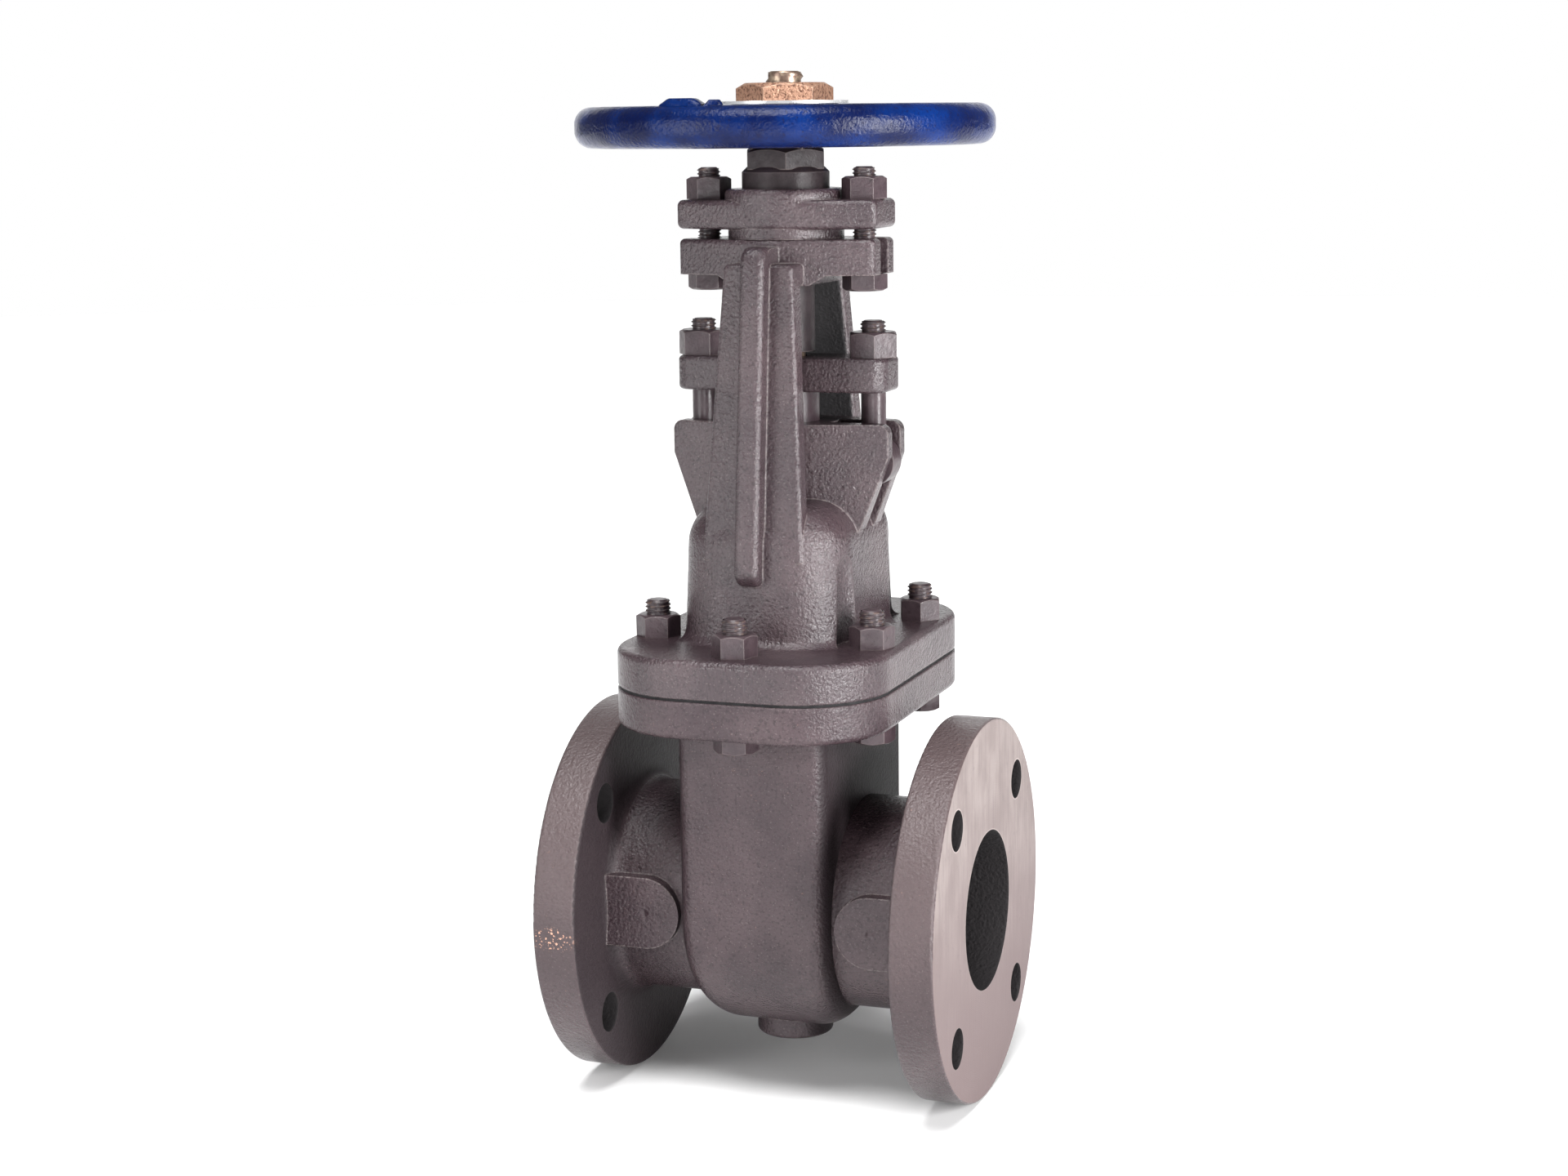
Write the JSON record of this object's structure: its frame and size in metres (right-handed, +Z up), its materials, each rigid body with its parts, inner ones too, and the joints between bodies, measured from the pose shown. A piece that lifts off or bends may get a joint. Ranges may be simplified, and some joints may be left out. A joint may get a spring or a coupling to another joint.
{
  "type": "flanged gate valve",
  "caption": "Cast iron wedge gate valve with flanged ends, bolted bonnet, outside screw and yoke, gland and blue handwheel; closed, with a rising stem.",
  "frame": {"origin": "centre of the inlet flange's flat face, on the axis of the bore", "axes": "+X along the bore from the inlet to the outlet, +Z up along the stem"},
  "size_m": [0.2032, 0.2032, 0.5046],
  "materials": {
    "casting": "dark semi-gloss paint over sand-cast iron",
    "wheel_paint": "glossy blue enamel on iron",
    "fastener": "dark satin steel",
    "bronze": "rough cast bronze",
    "plate": "bright sheet",
    "gasket": "matte black sheet",
    "packing": "braided graphite"
  },
  "bodies": {
    "valve": {"bonnet_bolt_1": "fastener", "bonnet_bolt_2": "fastener", "bonnet_bolt_3": "fastener", "bonnet_bolt_4": "fastener", "bonnet_bolt_5": "fastener", "bonnet_bolt_6": "fastener", "bonnet_gasket": "gasket", "bonnet_nut_1": "fastener", "bonnet_nut_2": "fastener", "bonnet_nut_3": "fastener", "bonnet_nut_4": "fastener", "bonnet_nut_5": "fastener", "bonnet_nut_6": "fastener", "bonnet_yoke": "casting", "cap_bolt_left": "fastener", "cap_bolt_right": "fastener", "cap_nut_left": "fastener", "cap_nut_right": "fastener", "gland": "casting", "gland_eyebolt_left": "fastener", "gland_eyebolt_right": "fastener", "gland_flange": "casting", "gland_nut_left": "fastener", "gland_nut_right": "fastener", "gland_pin_left": "casting", "gland_pin_right": "casting", "inlet_end": "casting", "outlet_end": "casting", "packing_rings": "packing", "seat_ring_inlet": "bronze", "seat_ring_outlet": "bronze", "valve_body": "casting", "yoke_cap": "casting"},
    "wheel": {"yoke_nut": "casting", "handwheel": "wheel_paint", "wheel_nut": "bronze", "wheel_plate": "plate"},
    "stem": {"stem": "bronze", "wedge": "casting"}
  },
  "joints": [
    {"name": "wheel_spin", "type": "hinge", "parent": "valve", "child": "wheel", "pos_m": [0.1016, 0, 0.38], "axis": [0, 0, 1], "range_deg": [0, 4860]},
    {"name": "stem_lift", "type": "slide", "parent": "valve", "child": "stem", "axis": [0, 0, 1], "range_m": [0, 0.08574]}
  ],
  "couplings": [
    {"joint": "stem_lift", "follows": "wheel_spin", "m_per_rad": 0.0010106}
  ]
}
